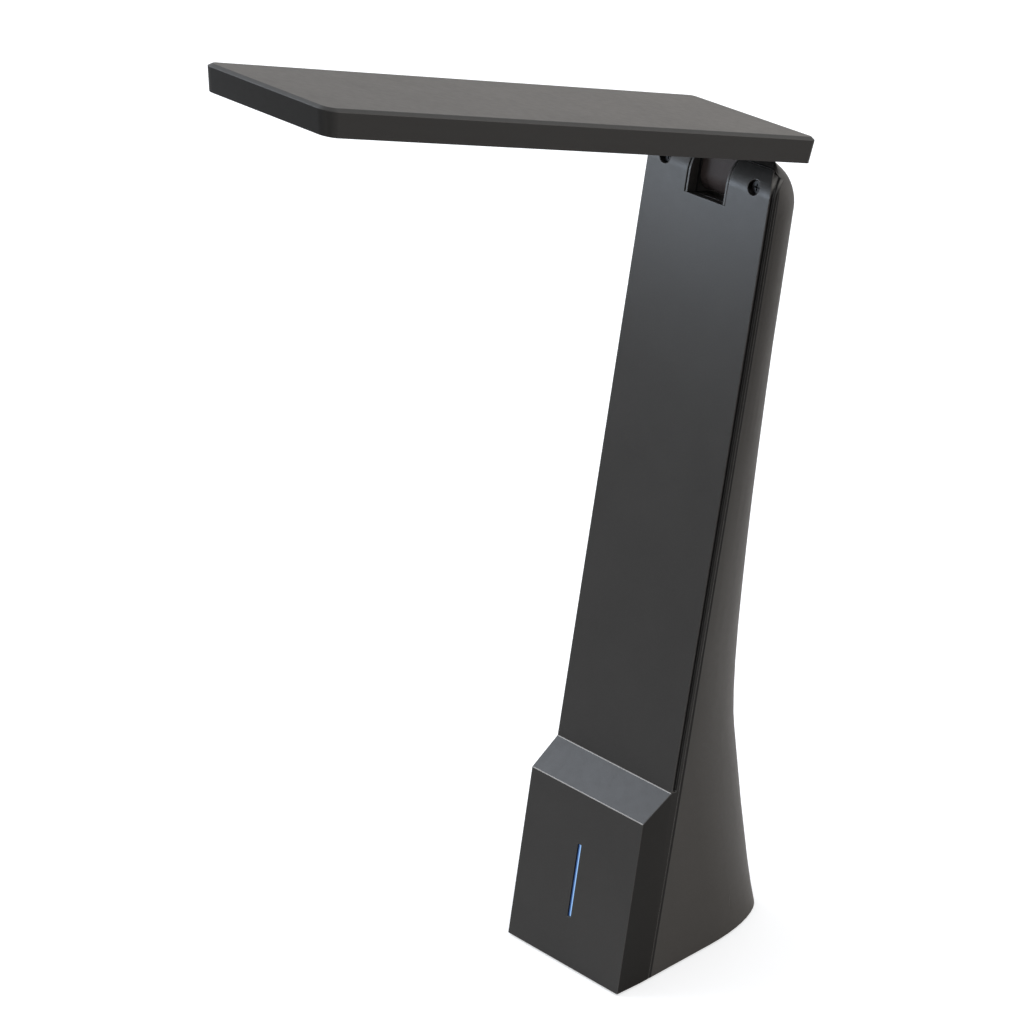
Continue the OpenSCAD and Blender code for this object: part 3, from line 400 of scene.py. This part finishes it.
OTHERS = {"diffuser_opal": opal, "guide_clear": clear_guide, "line_guide": lit_line, "line_led": lit_line}


def build_materials():
    """One material for each slot that the record names."""
    made = {name: plastic(name, **settings) for name, settings in PLASTICS.items()}
    made.update({name: metal(name, **settings) for name, settings in METALS.items()})
    made.update({name: build(name) for name, build in OTHERS.items()})
    return made


materials = build_materials()
slot_of = {row["node"]: row["material_slot"] for row in frame["record"]["subparts"]}
for node_name, node in nodes.items():
    node.data.materials.clear()
    node.data.materials.append(materials[slot_of[node_name]])


# Outer pieces: the CAD shapes with their edges rounded as moulded parts have them. Angles are in degrees.
WELD = 1e-6
FLAT_ANGLE = 0.8
ROUNDED_ANGLE = 28.0
SMOOTH_ANGLE = 40
BEVEL_SEGMENTS = 2


def rounded(node_name, piece_name, body, width):
    """A copy of a CAD node with welded points, whole faces, rounded edges and smooth shading."""
    bm = bmesh.new()
    bm.from_mesh(nodes[node_name].data)
    bmesh.ops.remove_doubles(bm, verts=bm.verts, dist=WELD)
    bmesh.ops.dissolve_limit(bm, angle_limit=math.radians(FLAT_ANGLE), use_dissolve_boundaries=False,
                             verts=bm.verts, edges=bm.edges, delimit={"NORMAL"})
    bm.normal_update()
    edges = [e for e in bm.edges if e.is_manifold and e.calc_face_angle(0.0) > math.radians(ROUNDED_ANGLE)]
    bmesh.ops.bevel(bm, geom=edges, offset=width * MM, offset_type="OFFSET", segments=BEVEL_SEGMENTS,
                    profile=0.5, affect="EDGES", clamp_overlap=True, loop_slide=True)
    mesh = bpy.data.meshes.new(piece_name)
    bm.to_mesh(mesh)
    bm.free()
    mesh.polygons.foreach_set("use_smooth", [True] * len(mesh.polygons))
    mesh.set_sharp_from_angle(angle=math.radians(SMOOTH_ANGLE))
    mesh.materials.append(materials[slot_of[node_name]])
    piece = bpy.data.objects.new(piece_name, mesh)
    scene.collection.objects.link(piece)
    weighted = piece.modifiers.new("normals", "WEIGHTED_NORMAL")
    weighted.keep_sharp = True
    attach(piece, body)
    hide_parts(node_name)


# The width of the rounding is in millimetres.
rounded("front_cover", "front_panel", "column", 0.22)
rounded("rear_shell", "back_shell", "column", 0.15)
rounded("head_cover", "head_top", "head", 0.25)
rounded("head_bezel", "head_frame", "head", 0.15)
rounded("hinge_knuckle", "knuckle", "head", 0.2)
rounded("base_plate", "foot_plate", "column", 0.15)
rounded("foot_pad", "foot_rubber", "column", 0.25)


# Floor. Its parts are told apart by X and Y in metres.
FLOOR_SIZE = 30
FLOOR_LEFT = (-0.2, 0.02)
FLOOR_RIGHT = (0.12, 0.42)
FLOOR_BEHIND_NEAR = (0.24, 0.36)
FLOOR_BEHIND_FAR = (0.6, 0.9)
FLOOR_BEHIND_SIDE = (-0.04, 0.18)
THROWN_FRONT = rgb(0.84, 0.795, 0.745)
THROWN_LEFT = rgb(0.49, 0.465, 0.44)
THROWN_DARK = rgb(0.12, 0.112, 0.106)
FLOOR_SEEN = rgb(0.7, 0.7, 0.7)
FLOOR_GLOW = 0.56


def floor_material():
    """White to the eye. On the lamp it throws back most near the foot and least at the right and behind."""
    s = Shader("floor")
    path = s.node("ShaderNodeLightPath").outputs
    seen = s.math("MAXIMUM", path["Is Camera Ray"], path["Is Transmission Ray"])
    place = s.axes(s.place())
    left = s.fall(place["X"], FLOOR_LEFT)
    right = s.rise(place["X"], FLOOR_RIGHT)
    behind = s.math("MULTIPLY", s.rise(place["Y"], FLOOR_BEHIND_NEAR), s.fall(place["Y"], FLOOR_BEHIND_FAR))
    behind = s.math("MULTIPLY", behind, s.rise(place["X"], FLOOR_BEHIND_SIDE))
    thrown = s.mix(left, THROWN_FRONT, THROWN_LEFT)
    thrown = s.mix(s.math("MAXIMUM", right, behind), thrown, THROWN_DARK)
    glow = s.mix(seen, rgb(0, 0, 0), rgb(1, 1, 1))
    s.set(color=s.mix(seen, thrown, FLOOR_SEEN), rough=0.9, spec=0.1, glow=glow, glow_strength=FLOOR_GLOW)
    return s.material


def build_floor():
    half = FLOOR_SIZE / 2
    corners = [(-half, -half, 0), (half, -half, 0), (half, half, 0), (-half, half, 0)]
    mesh = bpy.data.meshes.new("floor")
    mesh.from_pydata(corners, [], [(0, 1, 2, 3)])
    mesh.materials.append(floor_material())
    floor = bpy.data.objects.new("floor", mesh)
    scene.collection.objects.link(floor)


build_floor()


# World.
WORLD_COLOR = rgb(0.93, 0.96, 1.0)
WORLD_STRENGTH = 0.65


def build_world():
    """White to the camera and to mirrored and passing rays, and a softer, slightly cool light on the lamp."""
    world = bpy.data.worlds.new("studio")
    scene.world = world
    world.use_nodes = True
    world.node_tree.nodes.clear()
    n = Nodes(world.node_tree)
    path = n.node("ShaderNodeLightPath").outputs
    mirrored = n.math("MAXIMUM", path["Is Glossy Ray"], path["Is Transmission Ray"])
    seen = n.math("MAXIMUM", path["Is Camera Ray"], mirrored)
    soft = n.node("ShaderNodeBackground", {"Color": WORLD_COLOR, "Strength": WORLD_STRENGTH})
    white = n.node("ShaderNodeBackground", {"Color": rgb(1, 1, 1), "Strength": 1.0})
    mix = n.node("ShaderNodeMixShader", {0: seen, 1: soft.outputs[0], 2: white.outputs[0]})
    n.node("ShaderNodeOutputWorld", {"Surface": mix.outputs[0]})


build_world()


# Lights.
def softbox(name, place, aim, width, height, power, color, spread=180.0):
    """An area light, with sizes in metres. A spread below 180 degrees acts like a grid in front of it."""
    data = bpy.data.lights.new(name, "AREA")
    data.spread = math.radians(spread)
    data.shape = "RECTANGLE"
    data.size = width
    data.size_y = height
    data.energy = power
    data.color = color
    light = bpy.data.objects.new(name, data)
    light.location = place
    light.rotation_mode = "QUATERNION"
    light.rotation_quaternion = (Vector(aim) - Vector(place)).to_track_quat("-Z", "Y")
    light.visible_camera = False
    scene.collection.objects.link(light)


softbox("near_left", place=(-0.215, -0.19, 0.275), aim=(0.0, 0.05, 0.262), width=0.16, height=0.08,
        power=0.022, color=(0.8, 0.89, 1.0), spread=52.0)
softbox("ear_fill", place=(-0.12, -0.12, 0.29), aim=(0.02, 0.05, 0.264), width=0.05, height=0.03,
        power=0.004, color=(0.7, 0.83, 1.0), spread=40.0)
softbox("rear_left", place=(-0.94, 0.98, 0.22), aim=(0.0, -0.05, 0.31), width=1.0, height=0.35,
        power=0.77, color=(1.0, 0.88, 0.76))
softbox("high_left", place=(-0.9, -0.35, 1.05), aim=(0, -0.03, 0.1), width=0.7, height=0.7,
        power=9.0, color=(0.8, 0.88, 1.0))
softbox("rear_right", place=(1.3, 1.4, 0.9), aim=(0, 0.03, 0.15), width=1.0, height=1.0,
        power=14.0, color=(1.0, 0.95, 0.9))
